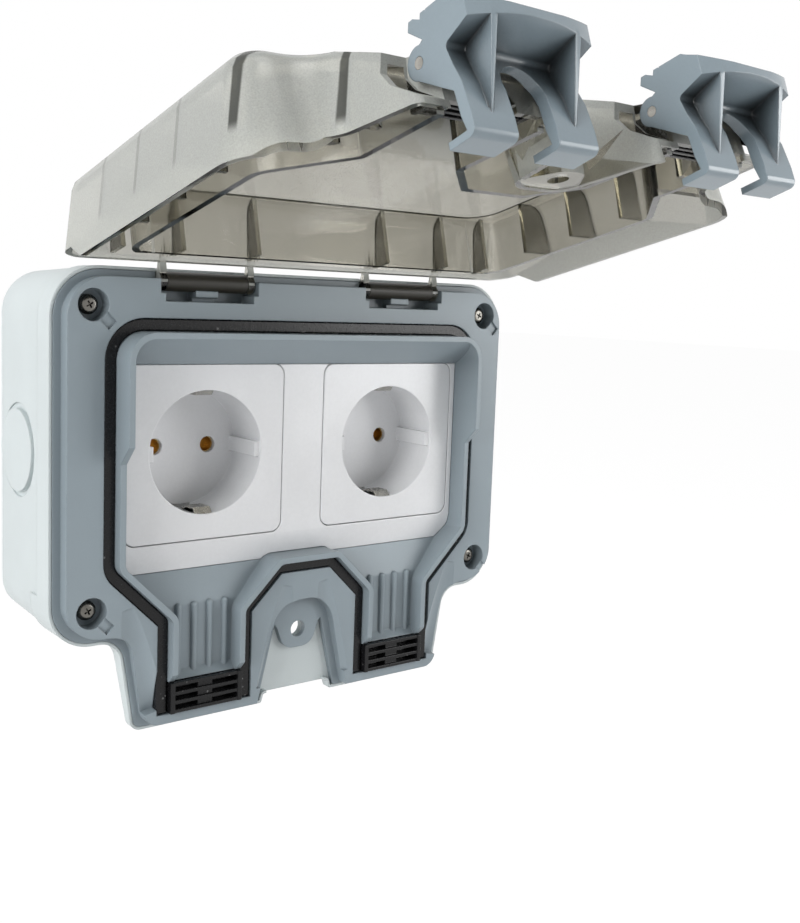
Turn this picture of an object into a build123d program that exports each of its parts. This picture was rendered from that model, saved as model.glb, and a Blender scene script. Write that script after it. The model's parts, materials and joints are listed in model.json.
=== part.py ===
from build123d import *
import math
import os

os.makedirs("parts", exist_ok=True)

# Outdoor two-gang socket with a hinged clear cover, in millimetres.
# Origin on the wall behind the middle of the box, +Y into the wall, +Z up, +X to the right from in front.

# Driving dimensions: housing
FACE_W = 16.65             # middle of the gasket to the outside of the housing
HOUSING_R = 15.0           # upper corner radius of the main rectangle
HOUSING_LOW_R = 13.0       # lower corner radius
BOX_DEPTH = 44.0           # wall to the front face of the frame's flange
BOX_WALL = 3.4             # side walls of the box
BOX_FLOOR = 2.5            # back of the box
BOX_STEP = 0.5             # set-back of the side wall behind the front band
BOX_BAND = 9.2             # depth of the front band
BOX_DRAFT = 1.1            # how far the side walls lean in, front to back
LIP_T = 0.9                # lip of the box round the flange
FIT = 0.1                  # clearance of the frame in the lip
LEG_BOTTOM = 85.4          # bottom of the cable legs below the middle
LEG_HALF_OUT = 59.8        # outer side of a leg at its bottom
LEG_NECK = 64.4            # outer side of a leg where it leaves the rectangle
SKIRT_MID = 82.4           # bottom of the skirt between the legs
SKIRT_TOP_BACK = 5.5       # depth of the skirt below the rectangle
SKIRT_LOW_BACK = 3.4       # depth of the skirt at the leg bottoms
KNOCKOUT_D = 25.4
KNOCKOUT_RING_D = 28.8
KNOCKOUT_BACK = 16.3       # centre of the knock-out from the wall
KNOCKOUT_RAISE = 0.8
WALL_HOLE_SIDE = 23.9      # wall fixing holes from the sides
WALL_HOLE_TOP = 16.25      # and from the top and bottom
WALL_HOLE_D = 5.0

# Driving dimensions: front frame
PANEL_RISE = 4.3           # raised panel in front of the flange
PANEL_INSET = 2.5          # panel edge inside the flange edge
PANEL_BOTTOM = 83.4
PANEL_T = 2.6              # wall thickness of the hollow panel
FRAME_BACK = 4.2           # frame behind the flange face, main rectangle
LEG_BACK = 2.0             # frame behind the flange face, legs
RIM_LOW = 2.8              # collar in front of the panel, lower half
RIM_HIGH = 8.3             # collar in front of the panel, upper half
COLLAR_T = 1.9
STEP_Z = 4.5               # where the collar steps down
GASKET_W = 3.9             # width of the gasket groove
GROOVE_DEPTH = 3.5
GASKET_SUNK = 0.6          # gasket face below the panel face
WELL_SIDE = 2.4            # well beside the centre plates
WELL_TOP = 8.25            # well above the centre plates, at the collar's rim
RUN_LOW = 33.8             # where the gasket turns to the leg
LEG_X = 37.05              # middle of a leg
LEG_RUN = 14.6             # half the distance between the two gaskets of a leg
LEG_TURN = 51.25           # where the gasket turns down the leg
ARCH_X = 10.3              # half the flat top of the arch gasket
ARCH_TOP = 39.1
RUN_END = 80.5             # lower end of the gasket
CHUTE_TOP = 37.0           # lower edge of the socket surround
CHUTE_DEPTH = 1.1          # chute floor in front of the flange face
CHUTE_RIBS = 4
CHUTE_RIB_PITCH = 5.45
CHUTE_RIB_R = 1.05
SEAL_TOP = 70.3            # upper edge of the cable seal
SLOT_HALF_LOW = 13.6       # box between the legs, half width at the bottom
SLOT_FOOT = 16.8           # opening between the legs, half width at its foot
SLOT_HALF_TOP = 9.4
SLOT_SHOULDER = 60.0
SLOT_CROWN = 53.4
LUG_Z = 62.0               # padlock hole below the middle
LUG_HOLE_D = 5.5
LUG_T = 2.0
LUG_R = 6.3
SCREW_EDGE = 11.25         # frame screws from the outside of the housing
SCREW_RECESS_D = 9.4
SCREW_RECESS_DEPTH = 5.2
SCREW_HEAD_D = 7.0
SCREW_HEAD_T = 2.6
SCREW_SHANK_D = 3.2
SCREW_LENGTH = 20.0
HOLE_CLEAR = 0.05          # radial clearance of a fixed screw or tube in its hole

# Driving dimensions: sockets
PLATE = 55.0
PLATE_PITCH = 71.0
PLATE_R = 3.6
PLATE_T = 2.6
SEAM = 0.3                 # seam round each centre plate
RECESS_D = 39.0
RECESS_DEPTH = 17.5
CUP_WALL = 2.0
CONTACT_PITCH = 19.0
CONTACT_D = 5.2
CONTACT_TUBE_D = 7.0
KEY_RIB_W = 5.0
KEY_RIB_T = 1.6
CLIP_W = 6.0
CLIP_T = 0.8
BRIDGE = 69.0
BRIDGE_T = 1.2
BRIDGE_SCREW_PITCH = 60.0
BASE_W = 45.0
BASE_T = 11.0

# Driving dimensions: cover
OPEN_ANGLE = 103.8         # how far the cover stands open in the rest pose
HINGE_DOWN = 3.75          # hinge line below the top of the housing
COVER_GAP = 0.5            # closed rim in front of the flange
COVER_SIDE = 0.55          # cover inside the outside of the housing
COVER_BACK = 6.05          # hinge end of the closed cover below the top of the housing
COVER_OVER = 0.6           # raised parts of the rim in front of the panel
COVER_H = 26.0             # outside depth of the cover
COVER_T = 1.8
ROOF_T = 2.2
COVER_DRAFT = 10.5         # lean of the outer walls in degrees
ROOF_R = 4.5
INNER_WALL_T = 2.0
INNER_WALL_RIM = 3.5       # inner wall rim behind the outer rim
LOBE_END = 82.2            # lower end of the closed cover
LOBE_HALF_IN = 14.1        # inner side of a lobe at its end
LOBE_CLEAR = 0.6           # rim of the lobe's end beside the panel
LOBE_BLOCK = 14.7          # half width of the lobe between the latch ears
CABLE_HALF = 6.0           # half width of the cable opening
ROD_D = 5.8
ROD_FIT = 0.06             # running clearance of the hinge rod in its clip
ARM_T = 2.2
HINGE_X = 37.35            # middle of a hinge
HINGE_HALF = 13.8          # half the distance between the two arms of a hinge
HINGE_GAP = 0.6            # clearance beside the arms
POCKET_DROP = 5.9          # hinge pocket below the hinge line
CLIP_HALF = 3.8            # half width of the hinge clip
GUSSET_T = 1.4
TAB_T = 2.4

# Driving dimensions: latch
PIN_Z = -78.0              # pivot in the closed cover
PIN_H = 14.4               # pivot in front of the closed rim
PIN_D = 2.6
PIN_FIT = 0.06
LATCH_HALF = 17.9
EAR_T = 2.8
EAR_R = 3.7
LATCH_AJAR = 5.0           # how far the latches hang open in the rest pose
PRONG_SLOT = 5.9           # half width of the slot between the prongs
TAB_CORNER = 15.6          # tab edge below the pivot, at its corners
TAB_MIDDLE = 19.4          # and in its middle
FIN_X = 12.0
FIN_T = 1.6

# Faces that the pieces share
FLANGE_Y = -BOX_DEPTH
PANEL_Y = FLANGE_Y - PANEL_RISE
FRAME_BACK_Y = FLANGE_Y + FRAME_BACK
LEG_BACK_Y = FLANGE_Y + LEG_BACK
BODY_GASKET_T = 1.2
LEDGE_Y = FRAME_BACK_Y + BODY_GASKET_T
LIP_Y = FLANGE_Y + 0.2
GROOVE = GASKET_W / 2
RUN_X = PLATE_PITCH / 2 + PLATE / 2 + WELL_SIDE + COLLAR_T + GROOVE
RUN_TOP = PLATE / 2 + WELL_TOP + COLLAR_T + GROOVE
HALF_W = RUN_X + FACE_W
HALF_H = RUN_TOP + FACE_W
SCREW_X = HALF_W - SCREW_EDGE
SCREW_Z = HALF_H - SCREW_EDGE
HINGE_Z = HALF_H - HINGE_DOWN
POCKET_Z = HINGE_Z - POCKET_DROP
HINGE_Y = FLANGE_Y
COVER_RIM_Y = FLANGE_Y - COVER_GAP
REACH = 120.0              # longer than any piece, for cutting right through


# Outlines
def outline(points):
    """Face from corner points (u, v) or (u, v, radius), joined by lines and corner arcs"""
    corners = []
    count = len(points)
    for i, point in enumerate(points):
        here = Vector(point[0], point[1])
        before = (Vector(points[i - 1][0], points[i - 1][1]) - here).normalized()
        after = (Vector(*points[(i + 1) % count][:2]) - here).normalized()
        radius = point[2] if len(point) > 2 else 0.0
        if radius <= 0.0:
            corners.append([here])
            continue
        half = math.acos(max(-1.0, min(1.0, before.dot(after)))) / 2
        run = radius / math.tan(half)
        bulge = radius / math.sin(half) - radius
        corners.append([here + before * run, here + (before + after).normalized() * bulge,
                        here + after * run])
    edges = []
    for i, corner in enumerate(corners):
        if len(corner) == 3:
            edges.append(ThreePointArc(*corner))
        start, end = corner[-1], corners[(i + 1) % count][0]
        if (end - start).length > 1e-6:
            edges.append(Line(start, end))
    return make_face(edges)


def grow(points, amount):
    """The same outline moved outwards by an amount, with its corner radii to match"""
    count = len(points)
    area = sum(points[i - 1][0] * points[i][1] - points[i][0] * points[i - 1][1] for i in range(count))
    side = 1.0 if area > 0 else -1.0
    grown = []
    for i in range(count):
        here = Vector(points[i][0], points[i][1])
        a = (here - Vector(*points[i - 1][:2])).normalized()
        b = (Vector(*points[(i + 1) % count][:2]) - here).normalized()
        normal_a = Vector(a.Y, -a.X) * side
        normal_b = Vector(b.Y, -b.X) * side
        shift = (normal_a + normal_b) * (amount / (1.0 + normal_a.dot(normal_b)))
        turn = (a.X * b.Y - a.Y * b.X) * side
        radius = points[i][2] if len(points[i]) > 2 else 0.0
        if radius > 0.0:
            radius = max(radius + (amount if turn > 0 else -amount), 0.3)
        grown.append((here.X + shift.X, here.Y + shift.Y, radius))
    return grown


def both_sides(right_half):
    """Closed outline from its right half, listed from the top to the bottom"""
    left = [(-p[0], *p[1:]) for p in reversed(right_half)]
    return list(right_half) + left


def ribbon(points, thickness):
    """Closed outline of a bent strip along a path"""
    left, right = [], []
    for i, point in enumerate(points):
        here = Vector(*point)
        a = (here - Vector(*points[i - 1])).normalized() if i else None
        b = (Vector(*points[i + 1]) - here).normalized() if i + 1 < len(points) else None
        a = a or b
        b = b or a
        normal_a, normal_b = Vector(-a.Y, a.X), Vector(-b.Y, b.X)
        shift = (normal_a + normal_b) * (thickness / 2 / (1.0 + normal_a.dot(normal_b)))
        left.append((here.X + shift.X, here.Y + shift.Y))
        right.append((here.X - shift.X, here.Y - shift.Y))
    return left + right[::-1]


# Solids from outlines
def slab(points, y_front, y_back):
    """Outline in X and Z made solid between two depths"""
    return extrude(Plane.XZ.offset(-y_back) * outline(points), y_back - y_front)


def profile(points, x_from, x_to):
    """Outline in Y and Z made solid between two places in X"""
    return extrude(Plane.YZ.offset(x_from) * outline(points), x_to - x_from)


def block(x0, x1, y0, y1, z0, z1):
    return Pos((x0 + x1) / 2, (y0 + y1) / 2, (z0 + z1) / 2) * Box(x1 - x0, y1 - y0, z1 - z0)


def rod_y(radius, y_front, y_back, x, z):
    """Round bar along Y"""
    length = y_back - y_front
    return Pos(x, (y_front + y_back) / 2, z) * Rot(90, 0, 0) * Cylinder(radius, length)


def rod_x(radius, x_from, x_to, y, z):
    """Round bar along X"""
    return Pos((x_from + x_to) / 2, y, z) * Rot(0, 90, 0) * Cylinder(radius, x_to - x_from)


def mirrored(shape):
    return mirror(shape, about=Plane.YZ)


# Outlines that several pieces share
RECTANGLE = both_sides([(HALF_W, HALF_H, HOUSING_R), (HALF_W, -HALF_H, HOUSING_LOW_R)])
HOUSING = both_sides([
    (HALF_W, HALF_H, HOUSING_R),
    (HALF_W, -HALF_H, HOUSING_LOW_R),
    (LEG_NECK, -HALF_H, 7.0),
    (LEG_HALF_OUT, -LEG_BOTTOM, 3.5),
    (SLOT_HALF_LOW, -LEG_BOTTOM, 0.8),
    (SLOT_HALF_LOW - 0.8, -SKIRT_MID, 0.8),
])
FLANGE = both_sides([
    (HALF_W, HALF_H, HOUSING_R),
    (HALF_W, -HALF_H, HOUSING_LOW_R),
    (LEG_NECK, -HALF_H, 7.0),
    (LEG_HALF_OUT, -LEG_BOTTOM, 3.5),
])
PANEL = both_sides([
    (HALF_W - LIP_T - FIT - PANEL_INSET, HALF_H - LIP_T - FIT - PANEL_INSET + 0.5, HOUSING_R - 3),
    (HALF_W - LIP_T - FIT - PANEL_INSET, -HALF_H + LIP_T + FIT + PANEL_INSET, HOUSING_LOW_R - 2),
    (LEG_NECK - PANEL_INSET, -HALF_H + PANEL_INSET, 8.0),
    (LEG_HALF_OUT - PANEL_INSET - 0.4, -PANEL_BOTTOM, 5.0),
])
LEG_SLOT = both_sides([
    (SLOT_HALF_TOP - 0.6, -SLOT_CROWN, SLOT_HALF_TOP - 1.0),
    (SLOT_HALF_TOP, -SLOT_SHOULDER, 6.0),
    (SLOT_FOOT, -LEG_BOTTOM - 6.0),
])
LEG_OUT = LEG_X + LEG_RUN
LEG_IN = LEG_X - LEG_RUN
RUN_PAST = LEG_BOTTOM + 10.0
RUN = both_sides([
    (RUN_X, RUN_TOP, 10.5),
    (RUN_X, -RUN_LOW, 7.0),
    (LEG_OUT, -LEG_TURN, 1.0),
    (LEG_OUT, -RUN_PAST),
    (LEG_IN, -RUN_PAST),
    (LEG_IN, -LEG_TURN, 1.0),
    (ARCH_X, -ARCH_TOP, 1.0),
])
COLLAR_OUT = grow(RUN, -GROOVE)
WELL = grow(RUN, -GROOVE - COLLAR_T)


def run_band(outer, inner, y_front, y_back, z_end):
    """Ring that follows the gasket run down to the ends of the legs"""
    ring = slab(grow(RUN, outer), y_front, y_back) - slab(grow(RUN, inner), y_front - 1, y_back + 1)
    return ring & block(-REACH, REACH, y_front, y_back, -z_end, REACH)


# Back box
def back_box():
    band_y = LIP_Y + BOX_BAND
    front = slab(RECTANGLE, LIP_Y, band_y)
    at_band = Plane.XZ.offset(-band_y) * outline(grow(RECTANGLE, -BOX_STEP))
    at_wall = Plane.XZ * outline(grow(RECTANGLE, -BOX_STEP - BOX_DRAFT))
    tub = front + loft([at_band, at_wall])
    skirt_side = [
        (LIP_Y, -HALF_H + HOUSING_R), (LIP_Y, -LEG_BOTTOM - 1),
        (FLANGE_Y + SKIRT_LOW_BACK, -LEG_BOTTOM - 1), (FLANGE_Y + SKIRT_TOP_BACK, -HALF_H - 1),
        (FLANGE_Y + SKIRT_TOP_BACK + BOX_BAND, -HALF_H + BOX_WALL),
        (FLANGE_Y + SKIRT_TOP_BACK + BOX_BAND, -HALF_H + HOUSING_R),
    ]
    skirt = slab(HOUSING, LIP_Y, 0) & profile(skirt_side, -REACH, REACH)
    tub += skirt
    inside = slab(grow(RECTANGLE, -BOX_WALL - BOX_DRAFT), LIP_Y - 1, -BOX_FLOOR)
    tub -= inside
    seat = slab(grow(RECTANGLE, -LIP_T), LIP_Y - 1, LEDGE_Y)
    leg_seat = slab(grow(HOUSING, -LIP_T), LIP_Y - 1, LEG_BACK_Y + FIT)
    leg_floor = block(-REACH, REACH, LIP_Y - 1, LEG_BACK_Y + FIT, -LEG_BOTTOM - 1, 0)
    tub -= seat
    tub -= leg_seat & leg_floor
    tub -= block(-SLOT_HALF_LOW + 2, SLOT_HALF_LOW - 2, LIP_Y - 1, LEG_BACK_Y + FIT,
                 -LEG_BOTTOM - 1, -LUG_Z)
    tub -= rod_y(LUG_HOLE_D / 2 + 0.6, LIP_Y, 0, 0, -LUG_Z)
    for x in (-1, 1):
        arm = HINGE_X + HINGE_HALF + ARM_T + HINGE_GAP
        near, far = sorted((x * (2 * HINGE_X - arm), x * arm))
        tub -= block(near, far, LIP_Y - 1, FRAME_BACK_Y - 0.6, HALF_H - 3, HALF_H + 3)
        for z in (-1, 1):
            boss = rod_y(SCREW_RECESS_D / 2, FRAME_BACK_Y, -BOX_FLOOR, x * SCREW_X, z * SCREW_Z)
            tub += boss - rod_y(SCREW_SHANK_D / 2 + HOLE_CLEAR, FRAME_BACK_Y - 1,
                                -BOX_DEPTH + SCREW_LENGTH + 2, x * SCREW_X, z * SCREW_Z)
            tub -= rod_y(WALL_HOLE_D / 2, -BOX_FLOOR - 1, 1, x * (HALF_W - WALL_HOLE_SIDE), z * (HALF_H - WALL_HOLE_TOP))
        for side in (-1, 1):
            boss_x = x * PLATE_PITCH / 2 + side * BRIDGE_SCREW_PITCH / 2
            boss = rod_y(4.0, BRIDGE_BACK_Y, -BOX_FLOOR, boss_x, 0)
            tub += boss - rod_y(SCREW_SHANK_D / 2 + HOLE_CLEAR, BRIDGE_BACK_Y - 1,
                                BRIDGE_BACK_Y + 12, boss_x, 0)
    # knock-out for a cable entry in the left wall
    wall_x = -HALF_W + BOX_STEP + BOX_DRAFT / 2
    turn = Pos(wall_x, -KNOCKOUT_BACK, 0) * Rot(0, 90, 0)
    ring = Cylinder(KNOCKOUT_RING_D / 2, 2 * KNOCKOUT_RAISE) - Cylinder(KNOCKOUT_D / 2, 4)
    tub -= turn * ring
    tub += turn * Cylinder(KNOCKOUT_D / 2, 2 * KNOCKOUT_RAISE)
    return tub


# Front frame
def well_profile():
    """Side view of the opening in the frame: sloped roof, open socket window, chute and seal seat"""
    slope = (RUN_TOP - GROOVE - COLLAR_T - PLATE / 2) / (PANEL_RISE + RIM_HIGH)
    chute_y = FLANGE_Y - CHUTE_DEPTH
    return [
        (FLANGE_Y - 30, PLATE / 2 + 30 * slope), (FLANGE_Y, PLATE / 2 + FIT), (0, PLATE / 2 + FIT),
        (0, -CHUTE_TOP), (FLANGE_Y + 2.4, -CHUTE_TOP), (chute_y + 0.3, -CHUTE_TOP - 10.5, 4.0),
        (chute_y, -SEAL_TOP + 2.6), (chute_y - 2.4, -SEAL_TOP), (FLANGE_Y - 30, -SEAL_TOP),
    ]


def scallop(side, top_x, low_x):
    """Slanted groove beside a leg that gets wider and deeper downwards"""
    radius = 7.0
    top = Vector(side * top_x, PANEL_Y - radius + 0.3, -46.0)
    low = Vector(side * low_x, PANEL_Y - radius + 3.4, -79.5)
    axis = low - top
    plane = Plane(origin=top, z_dir=axis)
    return extrude(plane * Circle(radius), axis.length)


def front_frame():
    flange = slab(grow(FLANGE, -LIP_T - FIT), FLANGE_Y, FRAME_BACK_Y)
    panel = slab(PANEL, PANEL_Y, FLANGE_Y)
    frame = flange + panel
    frame -= slab(LEG_SLOT, FLANGE_Y - 1, 0) + slab(grow(LEG_SLOT, PANEL_INSET + 0.3), PANEL_Y - 1, FLANGE_Y)
    frame -= block(-REACH, REACH, LEG_BACK_Y, 0, -REACH, -HALF_H + BOX_WALL + BOX_DRAFT)
    for x in (-1, 1):
        frame -= scallop(x, LEG_NECK - 1.2, LEG_HALF_OUT - 3.6)
        frame -= scallop(x, SLOT_HALF_TOP - 2.1, SLOT_HALF_LOW - 1.2)
    # hollow back of the panel, clear of the gasket groove, screws and hinge pockets
    hollow = slab(grow(PANEL, -PANEL_T), PANEL_Y + PANEL_T, 0)
    hollow -= slab(grow(RUN, GROOVE + PANEL_T), PANEL_Y, 1)
    hollow -= block(-REACH, REACH, PANEL_Y, 1, -REACH, -HALF_H + BOX_WALL + BOX_DRAFT + 1)
    hollow -= block(-REACH, REACH, PANEL_Y, 1, POCKET_Z - 1.6, REACH)
    for x in (-1, 1):
        for z in (-1, 1):
            hollow -= rod_y(SCREW_RECESS_D / 2 + 1.8, PANEL_Y, 1, x * SCREW_X, z * SCREW_Z)
    frame -= hollow
    # collar with its step and the well that it rings
    collar_side = [
        (FLANGE_Y, -SEAL_TOP), (PANEL_Y, -SEAL_TOP), (PANEL_Y - RIM_LOW, -SEAL_TOP + RIM_LOW),
        (PANEL_Y - RIM_LOW, STEP_Z - RIM_HIGH + RIM_LOW), (PANEL_Y - RIM_HIGH, STEP_Z),
        (PANEL_Y - RIM_HIGH, REACH), (FLANGE_Y, REACH),
    ]
    frame += slab(COLLAR_OUT, PANEL_Y - RIM_HIGH, FLANGE_Y) & profile(collar_side, -REACH, REACH)
    frame -= slab(WELL, PANEL_Y - RIM_HIGH - 1, 0) & profile(well_profile(), -REACH, REACH)
    seat = slab(COLLAR_OUT, PANEL_Y - 10, FLANGE_Y - 0.3)
    frame -= seat & block(-REACH, REACH, PANEL_Y - 10, FLANGE_Y - 0.3, -RUN_END, -SEAL_TOP)
    frame -= run_band(GROOVE, -GROOVE, PANEL_Y - RIM_HIGH - 1, PANEL_Y + GROOVE_DEPTH, RUN_END)
    # ribs on the chute floors
    for leg in (-1, 1):
        for i in range(CHUTE_RIBS):
            x = leg * LEG_X + (i - (CHUTE_RIBS - 1) / 2) * CHUTE_RIB_PITCH
            low, high = -SEAL_TOP + 1.5, -CHUTE_TOP - 10.8
            bar = Pos(x, FLANGE_Y - CHUTE_DEPTH, (low + high) / 2) * Cylinder(CHUTE_RIB_R, high - low)
            bar += Pos(x, FLANGE_Y - CHUTE_DEPTH, high) * Sphere(CHUTE_RIB_R)
            frame += bar
    # padlock lug
    lug = both_sides([(SLOT_HALF_TOP + 1, -SLOT_CROWN), (SLOT_HALF_TOP + 1, -SLOT_SHOULDER + 2.5),
                      (LUG_R + 1.9, -SLOT_SHOULDER - 0.6, 1.5), (LUG_R - 0.9, -LUG_Z - LUG_R, LUG_R - 1.0)])
    frame += slab(lug, FLANGE_Y, FLANGE_Y + LUG_T)
    frame -= rod_y(LUG_HOLE_D / 2, FLANGE_Y - 1, FLANGE_Y + LUG_T + 1, 0, -LUG_Z)
    # hinge pockets with the clips that carry the rods
    for x in (-1, 1):
        frame -= pocket(x)
        frame += rod_clip(x)
        for z in (-1, 1):
            at = (x * SCREW_X, z * SCREW_Z)
            frame -= rod_y(SCREW_RECESS_D / 2, PANEL_Y - 1, PANEL_Y + SCREW_RECESS_DEPTH, *at)
            frame -= rod_y(SCREW_SHANK_D / 2 + 0.6, PANEL_Y, 0, *at)
            notch = Pos(at[0] + 4.4, PANEL_Y, at[1] - 4.4) * Rot(0, 45, 0) * Box(4.2, 1.6, 3.4)
            frame -= notch
    return frame


def pocket(side):
    floor = FRAME_BACK_Y - 0.9
    inner = HINGE_HALF + HINGE_GAP * 2
    outer = HINGE_HALF + ARM_T + HINGE_GAP
    rod_z = HINGE_Z - ROD_D / 2 - 0.6
    middle = side * HINGE_X
    cut = block(middle - inner, middle + inner, PANEL_Y - 1, floor, POCKET_Z, HALF_H + 1)
    cut += block(middle - outer, middle + outer, PANEL_Y - 1, floor, rod_z, HALF_H + 1)
    return cut


def rod_clip(side):
    """Hook under the hinge rod, open to the front so that the rod snaps in"""
    hook = rod_x(ROD_D / 2 + 1.8, -CLIP_HALF, CLIP_HALF, HINGE_Y, HINGE_Z)
    hook &= block(-CLIP_HALF, CLIP_HALF, HINGE_Y - 1.6, FRAME_BACK_Y, POCKET_Z, HINGE_Z + 1.2)
    foot = block(-CLIP_HALF, CLIP_HALF, HINGE_Y + 1.0, FRAME_BACK_Y, POCKET_Z - 0.5, HINGE_Z - 1.0)
    clip = hook + foot
    clip -= rod_x(ROD_D / 2 + ROD_FIT, -CLIP_HALF - 1, CLIP_HALF + 1, HINGE_Y, HINGE_Z)
    return Pos(side * HINGE_X, 0, 0) * clip


# Gaskets and cable seals of the housing
def body_gasket():
    ring = slab(grow(RECTANGLE, -LIP_T - 2 * FIT), FRAME_BACK_Y, LEDGE_Y)
    return ring - slab(grow(RECTANGLE, -BOX_WALL), FRAME_BACK_Y - 1, LEDGE_Y + 1)


def cover_gaskets():
    """The gasket round the outside and the one over the arch, from one run"""
    edge = GROOVE - FIT
    band = run_band(edge, -edge, PANEL_Y + GASKET_SUNK, PANEL_Y + GROOVE_DEPTH, RUN_END - 0.2)
    arch, rim = band.solids().sort_by(lambda solid: solid.bounding_box().size.X)
    return rim, arch


def louvres(y_wall, y_front, z_low, z_high, half, post):
    """Soft cable seal: back wall, end posts, middle post and four level fins"""
    toward = 1 if y_front > y_wall else -1
    wall = sorted((y_wall, y_wall + toward * 1.6))
    deep = sorted((y_wall, y_front))
    seal = block(-half, half, *wall, z_low, z_high)
    for x in (-half + 0.8, half - 0.8):
        seal += block(x - 0.8, x + 0.8, *deep, z_low, z_high)
    seal += block(-post, post, *sorted((y_wall, y_front - toward * 1.4)), z_low, z_high)
    fins = 4
    pitch = (z_high - z_low - 1.2) / (fins - 1)
    for i in range(fins):
        z = z_low + i * pitch
        seal += block(-half, half, *sorted((y_wall, y_front - toward * 0.4)), z, z + 1.2)
    return seal


def cable_seal(side):
    half = LEG_RUN - GROOVE - FIT
    seal = louvres(FLANGE_Y - 0.3, PANEL_Y - 1.6, -RUN_END + 0.2, -SEAL_TOP - 0.2, half, 2.6)
    return Pos(side * LEG_X, 0, 0) * seal


# Sockets
SURROUND_BACK_Y = FLANGE_Y + 2.2
BRIDGE_Y = FRAME_BACK_Y + 1.2
BRIDGE_BACK_Y = BRIDGE_Y + BRIDGE_T
CUP_BACK_Y = FLANGE_Y + RECESS_DEPTH + CUP_WALL
BASE_Y = CUP_BACK_Y + CLIP_T + 0.1


def plate_outline(gap):
    half = PLATE / 2 + gap
    radius = PLATE_R + gap
    return [(half, half, radius), (half, -half, radius), (-half, -half, radius), (-half, half, radius)]


def shifted(points, dx):
    return [(p[0] + dx, *p[1:]) for p in points]


def socket_surround():
    side = [
        (FLANGE_Y, PLATE / 2), (FLANGE_Y, -PLATE / 2 - SEAM - 0.4), (FLANGE_Y + 2.3, -CHUTE_TOP + FIT),
        (FLANGE_Y + 3.9, -CHUTE_TOP + FIT), (SURROUND_BACK_Y, -PLATE / 2 - 1), (SURROUND_BACK_Y, PLATE / 2),
    ]
    surround = slab(grow(WELL, -FIT), FLANGE_Y - 1, 0) & profile(side, -REACH, REACH)
    for x in (-1, 1):
        surround -= slab(shifted(plate_outline(SEAM), x * PLATE_PITCH / 2), FLANGE_Y - 1, 0)
    return surround


def socket_plate():
    plate = slab(plate_outline(0), FLANGE_Y - 0.1, FLANGE_Y + PLATE_T)
    plate += rod_y(RECESS_D / 2 + CUP_WALL, FLANGE_Y, CUP_BACK_Y, 0, 0)
    plate -= rod_y(RECESS_D / 2, FLANGE_Y - 1, FLANGE_Y + RECESS_DEPTH, 0, 0)
    for x in (-1, 1):
        key = x * (RECESS_D / 2 - KEY_RIB_T / 2)
        rib = block(key - KEY_RIB_T / 2 - 0.3, key + KEY_RIB_T / 2 + 0.3, FLANGE_Y + 1.0,
                    FLANGE_Y + RECESS_DEPTH, -KEY_RIB_W / 2, KEY_RIB_W / 2)
        plate += rib
        plate -= rod_y(CONTACT_D / 2, FLANGE_Y, 0, x * CONTACT_PITCH / 2, 0)
    # windows for the earth clip at the top and bottom of the recess
    window = block(-CLIP_W / 2 - 0.3, CLIP_W / 2 + 0.3, FLANGE_Y + 1.0, CUP_BACK_Y - 1.0, 0, RECESS_D)
    window &= rod_y(RECESS_D / 2 + CUP_WALL + 0.5, FLANGE_Y, 0, 0, 0) \
        - rod_y(RECESS_D / 2 - 0.1, FLANGE_Y - 1, 1, 0, 0)
    plate -= window + mirror(window, about=Plane.XY)
    return plate


def earth_clip():
    edge = RECESS_D / 2
    back = CUP_BACK_Y + CLIP_T / 2 + 0.05
    upper = [
        (FLANGE_Y + 1.7, edge + 0.6), (FLANGE_Y + 3.4, edge - 1.4), (FLANGE_Y + 8.0, edge - 1.4),
        (FLANGE_Y + 13.5, edge + 1.2), (FLANGE_Y + 15.0, edge + 2.9), (back, edge + 2.9),
    ]
    path = upper + [(y, -z) for y, z in reversed(upper)]
    return profile(ribbon(path, CLIP_T), -CLIP_W / 2, CLIP_W / 2)


def socket_base():
    half = BASE_W / 2
    body = slab([(half, half, 6.0), (half, -half, 6.0), (-half, -half, 6.0), (-half, half, 6.0)],
                BASE_Y, BASE_Y + BASE_T)
    for x in (-1, 1):
        body -= rod_y(CONTACT_TUBE_D / 2 + HOLE_CLEAR, BASE_Y - 1, BASE_Y + BASE_T - 1.5,
                      x * CONTACT_PITCH / 2, 0)
    return body


def contact_tube(side):
    x = side * CONTACT_PITCH / 2
    tube = rod_y(CONTACT_TUBE_D / 2, CUP_BACK_Y, BASE_Y + BASE_T - 1.5, x, 0)
    return tube - rod_y(CONTACT_D / 2 - 0.2, CUP_BACK_Y - 1, BASE_Y + BASE_T - 3.0, x, 0)


def mounting_bridge():
    half = BRIDGE / 2
    frame = slab([(half, half, 4.0), (half, -half, 4.0), (-half, -half, 4.0), (-half, half, 4.0)],
                 BRIDGE_Y, BRIDGE_BACK_Y)
    frame &= block(-half, half, BRIDGE_Y, BRIDGE_BACK_Y, -half + 8, half - 8)
    frame -= rod_y(RECESS_D / 2 + CUP_WALL + 1.7, BRIDGE_Y - 1, 0, 0, 0)
    for x in (-1, 1):
        inner = x * (BASE_W / 2 + 0.1)
        outer = x * (BASE_W / 2 + 0.1 + BRIDGE_T)
        near, far = sorted((inner, outer))
        frame += block(near, far, BRIDGE_Y, BASE_Y + 6.0, -8, 8)
        near, far = sorted((inner, x * (BASE_W / 2 + 4.0)))
        frame += block(near, far, BRIDGE_Y, BRIDGE_BACK_Y, -8, 8)
        frame -= rod_y(SCREW_SHANK_D / 2 + 0.2, BRIDGE_Y - 1, BRIDGE_BACK_Y + 1,
                       x * BRIDGE_SCREW_PITCH / 2, 0)
    return frame


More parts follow.
